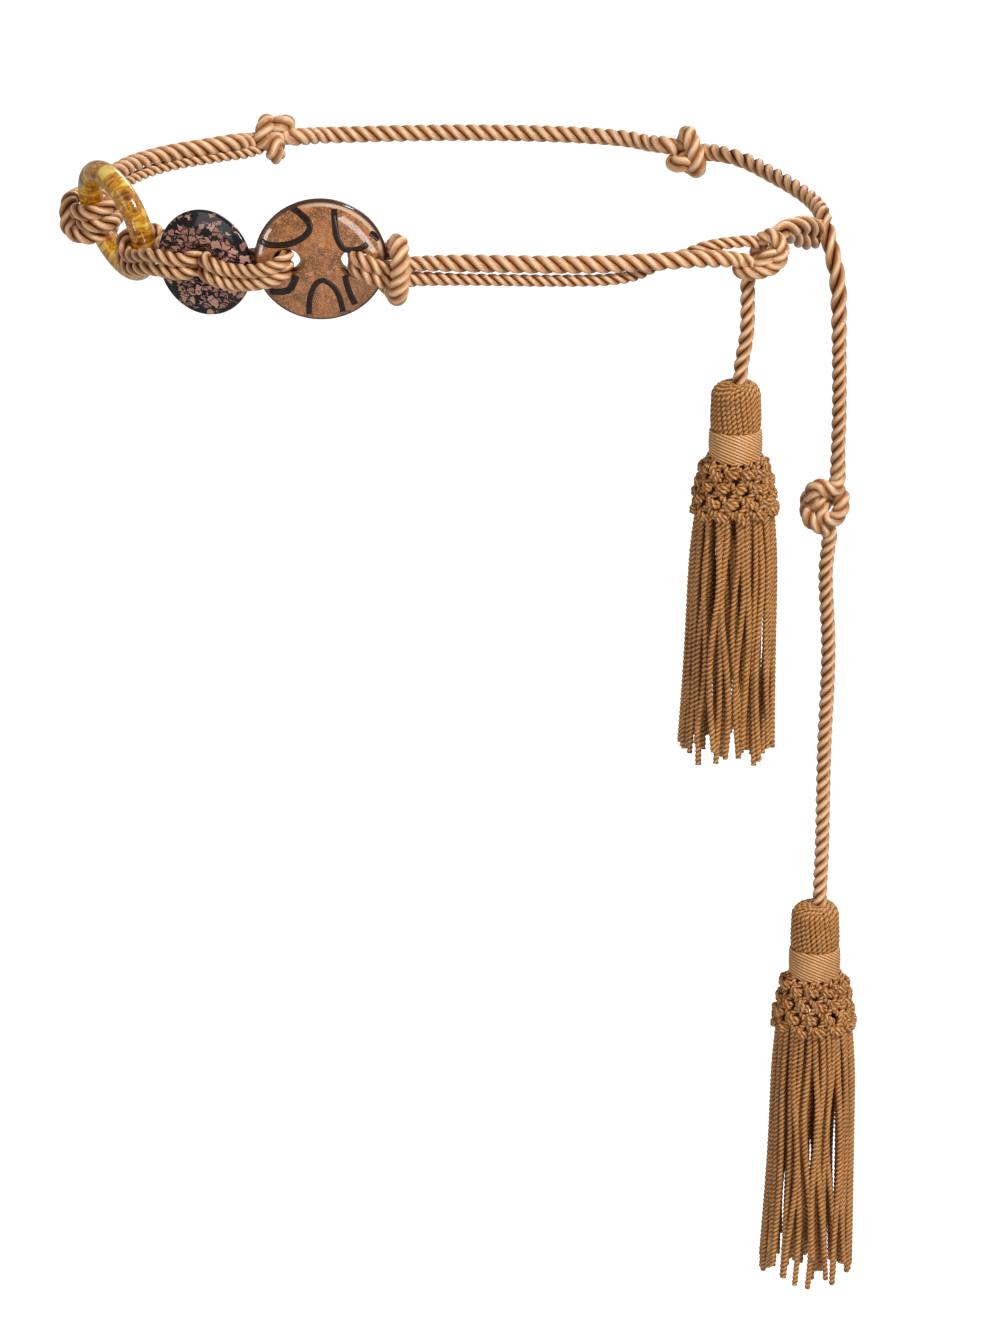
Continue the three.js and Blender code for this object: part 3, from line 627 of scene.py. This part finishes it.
def ring_noise(along, around, **settings):
    """Noise over the ring's wall, drawn out by how fast it changes along and round it."""
    spot = {key: m.math("MULTIPLY", value, pace)
            for key, value, pace in (("X", uv["X"], along), ("Y", wall_x, around), ("Z", wall_y, around))}
    return m.noise(m.add("ShaderNodeCombineXYZ", spot).outputs[0], **settings)


swirls = ring_noise(0.75, 0.9, Scale=0.9, Detail=0.3, Distortion=1.2)
bands = ring_noise(5.0, 0.4, Scale=1.0, Detail=1.2, Distortion=0.5)
glass_tone = m.math("ADD", m.math("MULTIPLY", swirls, 0.42), m.math("MULTIPLY", bands, 0.58))
honey = ramp_of(m, glass_tone, ((0.36, colour(100, 52, 10)), (0.43, colour(158, 96, 12)),
                                (0.48, colour(204, 144, 22)), (0.52, colour(148, 90, 16)),
                                (0.57, colour(206, 150, 34)), (0.68, colour(222, 192, 96))))
# Painted light: the wall turns paler where it is seen edge-on
edge_light_mask = m.add("ShaderNodeLayerWeight", {"Blend": 0.35}).outputs["Facing"]
honey = m.mix(m.remap(edge_light_mask, 0.55, 0.95, 0, 0.3), honey, colour(214, 180, 86))
polish(shader, 0.3)
# The faint emission in the glass's own colour is a painted glow
m.feed(shader, {"Base Color": honey, "Emission Color": honey, "Emission Strength": 0.08, "Transmission Weight": 0.06})

around = np.linspace(0, 2 * math.pi, RING_STEPS + 1)
middle = np.array([ring_point(angle, 0, 0) for angle in around]) * MM
spoke = unit(middle - RING_CENTRE * MM)
turn = np.linspace(0, 2 * math.pi, RING_SIDES, endpoint=False)
rings = (middle[:, None] + RING_WALL / 2 * MM * (np.cos(turn)[None, :, None] * spoke[:, None]
                                                 - np.sin(turn)[None, :, None] * ring_normal))
wall = skin_mesh("glass_ring_wall", [(rings, around * RING_RADIUS * MM)], amber, closed=True)
place_piece(wall, "amber_glass", "glass_ring")


# Glass discs: polished lenses with round holes whose lips are fire-polished. The patterned one
# is copper glitter glass with dark trails melted into it; the speckled one is black glass with
# copper flakes.
LENS_STEPS = 22
LENS_SEGMENTS = 144
RIM_STEPS = 9
HOLE_SEGMENTS = 64
LIP_HEIGHT = 1.5
LIP_FLARE = 1.6
LIP_TURN = 1.35


def face_height(disc, share):
    """Height of a disc's face over its middle plane, at a share of its radius."""
    edge, middle = disc["edge"] / 2, disc["thickness"] / 2
    return edge + (middle - edge) * (1 - min(1, share ** 4))


def circles(outline, segments, centre=0):
    """Points of circles round an upright line, from the rows of an outline, and their joining faces."""
    points = [(x * math.cos(a) + centre, x * math.sin(a), z) for x, z in outline
              for a in np.linspace(0, 2 * math.pi, segments, endpoint=False)]
    faces = [(i * segments + j, i * segments + (j + 1) % segments, (i + 1) * segments + (j + 1) % segments,
              (i + 1) * segments + j) for i in range(len(outline) - 1) for j in range(segments)]
    return points, faces


def lens(name, disc, material):
    """Lens with its holes. The holes are cut with a spool whose ends flare, which rounds their lips."""
    radius = disc["diameter"] / 2
    middle, edge = disc["thickness"] / 2, disc["edge"] / 2
    rim = 0.3 * disc["edge"]
    half = [(radius * share, face_height(disc, share))
            for share in (step / LENS_STEPS for step in range(LENS_STEPS + 1))]
    half += [(radius + rim * math.sin(angle), edge * math.cos(angle))
             for angle in (step / RIM_STEPS * math.pi / 2 for step in range(1, RIM_STEPS))]
    profile = [(x, -z) for x, z in half] + [(radius + rim, 0)] + half[::-1]
    points, faces = circles(profile[1:-1], LENS_SEGMENTS)
    top, bottom = len(points), len(points) + 1
    last = len(points) - LENS_SEGMENTS
    after = [(j + 1) % LENS_SEGMENTS for j in range(LENS_SEGMENTS)]
    faces += [(bottom, k, j) for j, k in enumerate(after)] + [(top, last + j, last + k) for j, k in enumerate(after)]
    mesh = bpy.data.meshes.new(name)
    mesh.from_pydata(points + [(0, 0, profile[-1][1]), (0, 0, profile[0][1])], [], faces)
    body = put(name, mesh)
    lip = [(disc["hole"] / 2 + LIP_FLARE * (1 - math.cos(t)), middle - LIP_HEIGHT + LIP_HEIGHT * math.sin(t))
           for t in np.linspace(0, LIP_TURN, 7)]
    lip.append((lip[-1][0], middle + 2))
    for centre in disc["holes"]:
        outline = [(x, -z) for x, z in lip[::-1]] + lip
        points, faces = circles(outline, HOLE_SEGMENTS, centre)
        ends = [tuple(range(HOLE_SEGMENTS - 1, -1, -1)), tuple(range(len(points) - HOLE_SEGMENTS, len(points)))]
        spool = bpy.data.meshes.new("bore")
        spool.from_pydata(points, [], faces + ends)
        cutter = put("bore", spool)
        cut = body.modifiers.new("bore", "BOOLEAN")
        cut.operation, cut.object, cut.solver = "DIFFERENCE", cutter, "EXACT"
        bpy.context.view_layer.update()
        done = bpy.data.meshes.new_from_object(body.evaluated_get(bpy.context.evaluated_depsgraph_get()))
        body.modifiers.clear()
        body.data = done
        bpy.data.objects.remove(cutter)
    turn = Matrix(disc_axes(disc)).transposed().to_4x4()
    turn.translation = Vector(disc["centre"])
    body.data.transform(turn)
    body.data.transform(Matrix.Scale(MM, 4))
    for polygon in body.data.polygons:
        polygon.use_smooth = True
    body.data.materials.clear()
    body.data.materials.append(material)
    return body


def disc_space(m, disc):
    """Coordinates in millimetres in the disc's own frame, for its painted material."""
    here = m.add("ShaderNodeTexCoord").outputs["Object"]
    moved = m.vector("SUBTRACT", here, tuple(np.array(disc["centre"]) * MM))[0]
    parts = {key: m.math("MULTIPLY", m.vector("DOT_PRODUCT", moved, tuple(axis))["Value"], 1 / MM)
             for key, axis in zip("XYZ", disc_axes(disc))}
    return m.add("ShaderNodeCombineXYZ", parts).outputs[0]


copper, shader, m = new_material("copper_glitter")
where = disc_space(m, patterned)
grains = m.add("ShaderNodeTexVoronoi", {"Vector": where, "Scale": 4.8}).outputs["Color"]
glint = m.remap(m.add("ShaderNodeSeparateColor", {"Color": grains}).outputs[0], 0.7, 1.0)
clouds = m.noise(where, Scale=0.13, Detail=4.0, Distortion=0.9)
wisps = m.noise(where, Scale=0.42, Detail=3.0, Distortion=1.5)
ground = m.mix(m.remap(clouds, 0.4, 0.6), colour(118, 68, 28), colour(162, 99, 50))
ground = m.mix(m.remap(wisps, 0.52, 0.7, 0, 0.55), ground, colour(214, 150, 102))
# Glitter grains, painted as bright glints: their sparkle is a painted highlight
ground = m.mix(m.math("MULTIPLY", glint, 0.42), ground, colour(252, 208, 164))
across = m.add("ShaderNodeSeparateXYZ", {"Vector": where}).outputs
radial = m.math("SQRT", m.math("ADD", m.math("MULTIPLY", across["X"], across["X"]),
                               m.math("MULTIPLY", across["Y"], across["Y"])))
# Painted light: the clear rim is painted pale only on the upper right, where the light catches it
lit_upper_right = m.remap(m.math("ADD", across["X"], across["Y"]), 8.0, 24.0)
lit_rim_band = m.math("MULTIPLY", m.remap(radial, 20.9, 21.4), lit_upper_right)
ground = m.mix(m.math("MULTIPLY", lit_rim_band, 0.6), ground, colour(232, 206, 178))
# Painted shade: a dark line all round the rim, where the clear edge looks dark
ground = m.mix(m.remap(radial, 21.9, 22.7), ground, colour(66, 34, 16))
polish(shader, 0.36)
m.feed(shader, {"Base Color": ground})
place_piece(lens("patterned_disc_glass", patterned, copper), "copper_glass", "patterned_disc")

# Dark trails: threads of brown glass melted into the patterned disc's two faces, which end short of
# its rim. Each has its width and its way, right and up from the disc's middle.
FACE_RADIUS = 22.45
TRAIL_SIDES = 12
TRAIL_SINK = 0.06
TRAIL_RISE = 0.2
trail_glass, shader, m = new_material("dark_trail")
smoke = m.noise(disc_space(m, patterned), Scale=0.9, Detail=3.0)
polish(shader, 0.4)
m.feed(shader, {"Base Color": m.mix(m.remap(smoke, 0.4, 0.7), colour(28, 13, 8), colour(52, 28, 16)),
                "Coat Weight": 0.35})
trails = [
    (2.6, ((-10.1, 20.6), (-6.9, 18.6), (-4.2, 15.9), (-3.7, 13), (-5.7, 10.2), (-10.2, 7.6), (-14.8, 6.7),
           (-19.2, 6.9), (-21, 8))),
    (2.4, ((5, 20.2), (5.1, 15.9), (5.6, 11.1), (6.8, 7.6), (8.5, 5.5), (12.2, 5.1), (14.8, 5.9), (16.6, 7.1))),
    (2.2, ((17.5, 11.1), (19.2, 9.8), (20.6, 8.2))),
    (2.2, ((-4.3, -20.4), (-4.1, -15.6), (-3.3, -11.2), (-1.5, -7.7), (0.8, -6.7), (2.9, -7.7), (5.2, -10.2),
           (6.7, -14.1), (7.7, -19.6))),
    (2.4, ((8.6, -4.8), (9.1, -7.7), (10.1, -11.6), (12, -16.6))),
    (3, ((-18.2, -11.6), (-15.1, -11.6), (-11.4, -10.6), (-9.6, -7.7), (-8.7, -4.8))),
]


def trail_ring(x, y, direction, width, face):
    """Section of a trail where it lies on one face, as a low oval."""
    ring = []
    for angle in np.linspace(0, 2 * math.pi, TRAIL_SIDES, endpoint=False):
        reach = width / 2 * math.cos(angle)
        px, py = x - direction[1] * reach, y + direction[0] * reach
        px, py = (value * min(1, FACE_RADIUS / math.hypot(px, py)) for value in (px, py))
        height = face_height(patterned, math.hypot(px, py) / (patterned["diameter"] / 2))
        ring.append(disc_point(patterned, px, py, face * (height - TRAIL_SINK + TRAIL_RISE * math.sin(angle))) * MM)
    return ring if face > 0 else ring[::-1]


trail_skins = []
for face in (1, -1):
    for width, trail in trails:
        line, _ = spline([(face * x, y, 0) for x, y in trail], spacing=0.4)
        rings = [trail_ring(x, y, lead, width, face) for (x, y, _), lead in zip(line, slope(line, False))]
        trail_skins.append((np.array(rings), np.linspace(0, 1, len(line))))
place_piece(skin_mesh("patterned_disc_trails", trail_skins, trail_glass), "copper_glass")

# Speckled disc: black glass with flakes of copper-coloured glass, crowded in two drifts and few
# near its upper rim
flecked, shader, m = new_material("flecked_black_glass")
where = disc_space(m, speckled)
bent = m.add("ShaderNodeTexNoise", {"Vector": where, "Scale": 0.4, "Detail": 2.0}).outputs["Color"]
bent = m.vector("ADD", m.vector("MULTIPLY", bent, (5.0, 5.0, 0.0))[0], where)[0]
flakes = {"Vector": m.vector("MULTIPLY", bent, (0.82, 1.25, 0.25))[0], "Scale": 0.37}
border = m.add("ShaderNodeTexVoronoi", flakes, feature="DISTANCE_TO_EDGE").outputs["Distance"]
cell = m.add("ShaderNodeSeparateColor", {"Color": m.add("ShaderNodeTexVoronoi", flakes).outputs["Color"]}).outputs
patches = m.noise(where, Scale=0.13, Detail=1.0)
spread = m.add("ShaderNodeSeparateXYZ", {"Vector": where}).outputs
to_middle = m.math("SQRT", m.math("ADD", m.math("POWER", m.math("SUBTRACT", spread["X"], 0.5), 2.0),
                                  m.math("POWER", m.math("ADD", spread["Y"], 1.5), 2.0)))
crowd = m.math("SUBTRACT", m.math("MULTIPLY", patches, 0.9), m.remap(to_middle, 12.5, 20.0, 0, 0.6))
chosen = m.remap(m.math("ADD", cell[0], crowd), 0.46, 0.52)
flake = m.math("MULTIPLY", chosen, m.remap(border, 0.07, 0.14))
dust = m.add("ShaderNodeTexVoronoi", {"Vector": where, "Scale": 4.0}).outputs["Color"]
dust = m.add("ShaderNodeSeparateColor", {"Color": dust}).outputs[0]
copper_tone = m.mix(cell[1], colour(122, 74, 60), colour(196, 142, 122))
copper_tone = m.mix(m.remap(dust, 0.6, 1.0, 0, 0.5), copper_tone, colour(232, 186, 168))
polish(shader, 0.34)
m.feed(shader, {"Base Color": m.mix(flake, colour(12, 8, 9), copper_tone), "Coat IOR": 1.33})
place_piece(lens("speckled_disc_glass", speckled, flecked), "speckled_glass", "speckled_disc")

# Tassels: a head of fine twisted cords folded over the rope's end, bound with a wound band. Below
# it the cords are knotted into a net, then hang loose as a fringe with uneven ends.
# In both, the first colour is a painted crest highlight and the fourth a painted groove shade
thread_satin = satin_material("thread_satin", 0.08 * MM, colour(226, 174, 116), colour(192, 132, 70),
                              colour(148, 94, 40), colour(88, 42, 8), 12.0, 2.0, 0.53)
band_satin = satin_material("band_satin", 0.06 * MM, colour(250, 206, 154), colour(220, 162, 104),
                            colour(184, 126, 70), colour(112, 62, 20), 7.0, 1.0, 0.52)
HEAD_RADIUS = 8.9
HEAD_HEIGHT = 17
HEAD_CORDS = 28
ROPE_ENTRY = 1.6
BAND_RADIUS = 9.3
BAND_HEIGHT = 8.8
BAND_THREADS = 9
BAND_RELIEF = 0.4
BAND_STEPS = 160
BAND_ROWS = 55
FRONT_SAG = 1.5
NET_HEIGHT = 20
NET_RADIUS = 14.6
NET_COLUMNS = 12
NET_ROWS = 4
WRAP_STEPS = 14
WRAP_TURNS = 1.6
WRAP_RISE = 2.1
OUTER_CORDS = 36
INNER_CORDS = 22
FRINGE_STEPS = 9
CORD = 2.35
CORD_LAY = 3.5
CORD_SIDES = 8
STEPS_IN_LAY = 7
WAIST_IN, WAIST_OUT = 0.26, 0.74
tassels = [("short_tassel", (104, -76, -46.6), 142, 11), ("long_tassel", (136.9, -36.6, -259.8), 151, 12)]


def two_ply(points, width, start):
    """Skin of a fine cord of two plies, as one tube whose section has a waist and turns."""
    path, _ = spline(np.array(points) * MM, spacing=CORD_LAY * MM / STEPS_IN_LAY)
    along, normals = carry(path)
    others = np.cross(along, normals)
    far = lengths_along(path)
    turn = np.linspace(-math.pi, math.pi, CORD_SIDES, endpoint=False)
    section = WAIST_IN * np.abs(np.cos(turn)) + np.sqrt(WAIST_OUT ** 2 - (WAIST_IN * np.sin(turn)) ** 2)
    reach = width / 2 * MM * section
    angle = 2 * math.pi * (far / (CORD_LAY * MM) + start)[:, None] + turn[None, :]
    rings = path[:, None] + reach[None, :, None] * (np.cos(angle)[..., None] * normals[:, None]
                                                    + np.sin(angle)[..., None] * others[:, None])
    return rings, far


def head_cords(top, dice):
    """Cords that leave the rope's side, fold over the shoulder and run down under the band."""
    skins = []
    for i in range(HEAD_CORDS):
        angle = 2 * math.pi * (i + dice.uniform(-0.12, 0.12)) / HEAD_CORDS
        rows = [(3.0, 1.0, 0), (4.6, 1.2, 0), (6.4, 0.3, 0), (7.7, -1.6, 0.02), (HEAD_RADIUS - 0.95, -5, 0.05),
                (HEAD_RADIUS - 0.75, -10, 0.12), (HEAD_RADIUS - 0.9, -14, 0.17), (HEAD_RADIUS - 1.7, -16.2, 0.19),
                (HEAD_RADIUS - 2, -17.6, 0.2)]
        points = []
        for radius, down, lean in rows:
            share = max(0, 1 - (radius - 3) / 4)
            points.append((top[0] + ROPE_ENTRY * share + radius * math.cos(angle + lean),
                           top[1] + radius * math.sin(angle + lean), top[2] + down - 1.2))
        skins.append(two_ply(points, CORD - 0.1, dice.random()))
    return skins


def band_mesh(name, top, material):
    """Wound band: fine threads side by side, which slant more on one side than on the other."""
    around, high = BAND_STEPS, BAND_ROWS
    angle = np.linspace(0, 2 * math.pi, around + 1)[:, None]
    share = np.linspace(0, 1, high)[None, :]
    slant = -14 * angle / (2 * math.pi) - 2.9 * np.sin(angle + 0.35)
    flow = BAND_THREADS * share + slant
    bulge = BAND_RADIUS - 0.35 + 0.35 * np.sin(math.pi * share) ** 0.5
    radius = bulge + BAND_RELIEF * np.abs(np.sin(math.pi * flow))
    z = top[2] - HEAD_HEIGHT + 0.3 - (BAND_HEIGHT + 0.6) * share + 0.3 * np.cos(angle + 2.2)
    z = z - FRONT_SAG * share * np.maximum(0, -np.sin(angle))
    rings = np.stack([top[0] + radius * np.cos(angle), top[1] + radius * np.sin(angle), z], axis=-1)
    faces = [(i * high + j, i * high + j + 1, ((i + 1) % around) * high + j + 1, ((i + 1) % around) * high + j)
             for i in range(around) for j in range(high - 1)]
    faces += [tuple(i * high for i in range(around)), tuple(i * high + high - 1 for i in range(around - 1, -1, -1))]
    mesh = bpy.data.meshes.new(name)
    mesh.from_pydata([tuple(p) for p in rings[:-1].reshape(-1, 3) * MM], [], faces)
    layer = mesh.uv_layers.new(name="UVMap")
    for polygon in mesh.polygons:
        column = polygon.index // (high - 1)
        for loop in polygon.loop_indices:
            i, j = divmod(mesh.loops[loop].vertex_index, high)
            i = around if i == 0 and column == around - 1 else i
            layer.data[loop].uv = (i / around * 5.8, flow[i, j])
        polygon.use_smooth = True
    mesh.materials.append(material)
    return put(name, mesh)


def net_radius(share):
    """How far the net stands out from the tassel's middle, from under the band to its lower edge."""
    return BAND_RADIUS - 0.6 + (NET_RADIUS - BAND_RADIUS + 0.2) * min(1, share) ** 0.62


def net_skins(top, dice):
    """Net: pairs of cords that part and meet, with a wrapped knot where they meet."""
    skins = []
    z0 = top[2] - HEAD_HEIGHT - BAND_HEIGHT
    for i in range(2 * NET_COLUMNS):
        points = []
        for row in range(NET_ROWS + 1):
            share = row / NET_ROWS
            away = 0.5 if (i + row) % 2 else -0.5
            angle = 2 * math.pi * (i + 0.5 + 0.8 * away) / (2 * NET_COLUMNS)
            radius = net_radius(share) + dice.uniform(-0.3, 0.3)
            points.append((top[0] + radius * math.cos(angle), top[1] + radius * math.sin(angle),
                           z0 - NET_HEIGHT * share + dice.uniform(-0.4, 0.4)
                           - FRONT_SAG * (1 - share) * max(0, -math.sin(angle))))
        skins.append(two_ply(points, CORD, dice.random()))
    for row in range(1, NET_ROWS + 1):
        share = (row - 0.04) / NET_ROWS
        for i in range(NET_COLUMNS):
            angle = 2 * math.pi * (i + 0.5 * (row % 2) + dice.uniform(-0.06, 0.06) + 0.25) / NET_COLUMNS
            out = np.array((math.cos(angle), math.sin(angle), 0))
            side = np.array((-math.sin(angle), math.cos(angle), 0))
            height = z0 - NET_HEIGHT * share + dice.uniform(-0.5, 0.5)
            centre = np.array((*top[:2], height)) + net_radius(share) * out
            tilt = dice.uniform(-1.1, 1.1)
            reach, depth = dice.uniform(1.5, 2.2), dice.uniform(1.1, 1.7)
            wrap = []
            for step in range(WRAP_STEPS + 1):
                t = 2 * math.pi * WRAP_TURNS * step / WRAP_STEPS + dice.uniform(0, 0.2)
                rise = WRAP_RISE * (step / WRAP_STEPS - 0.5) + tilt * math.cos(t)
                wrap.append(centre + side * reach * math.cos(t) + out * depth * math.sin(t) + (0, 0, rise))
            skins.append(two_ply(wrap, CORD - 0.25, dice.random()))
    return skins


def fringe_skins(top, length, dice, outer):
    """Loose cords: outer ones fall from the net, inner ones from under the band."""
    skins = []
    z0 = top[2] - HEAD_HEIGHT - BAND_HEIGHT
    start = z0 - NET_HEIGHT + 2 if outer else z0
    count = OUTER_CORDS if outer else INNER_CORDS
    for i in range(count):
        angle = 2 * math.pi * (i + dice.uniform(-0.3, 0.3)) / count
        wide = NET_RADIUS - 0.4 + dice.uniform(-0.6, 0.9) if outer else dice.uniform(4.6, 11.8)
        end = top[2] - length + dice.choice((2, 4, 5, 7, 9, 13)) + dice.uniform(0, 2)
        first = net_radius(1) - 1.2 if outer else min(7, 0.7 * wide)
        drift, phase, wave = dice.uniform(-0.07, 0.07), dice.uniform(0, 6.28), dice.uniform(0.5, 1.9)
        sway = -4 * max(0, -math.cos(angle)) * wide / NET_RADIUS
        points = []
        for step in range(FRINGE_STEPS + 1):
            share = step / FRINGE_STEPS
            radius = first + (wide - first) * min(1, share * (4 if outer else 9)) ** 0.7
            turn = angle + drift * share
            shift = wave * math.sin(phase + 6.5 * share) * min(1, 3 * share)
            points.append((top[0] + radius * math.cos(turn) - shift * math.sin(turn) + sway * share ** 1.5,
                           top[1] + radius * math.sin(turn) + shift * math.cos(turn), start + (end - start) * share))
        skins.append(two_ply(points, CORD * dice.uniform(0.94, 1.06), dice.random()))
    return skins


def tassel_piece(name, skins, *nodes):
    return place_piece(skin_mesh(name, skins, thread_satin), "tassel_thread", *nodes)


for name, top, length, seed in tassels:
    dice = random.Random(seed)
    head = tassel_piece(f"{name}_head_cords", head_cords(top, dice), f"{name}_head")
    band = place_piece(band_mesh(f"{name}_band_threads", top, band_satin), "tassel_thread", f"{name}_band")
    net = tassel_piece(f"{name}_net_cords", net_skins(top, dice), f"{name}_net")
    tassel_piece(f"{name}_fringe", fringe_skins(top, length, dice, True), f"{name}_skirt")
    tassel_piece(f"{name}_inner_fringe", fringe_skins(top, length, dice, False))
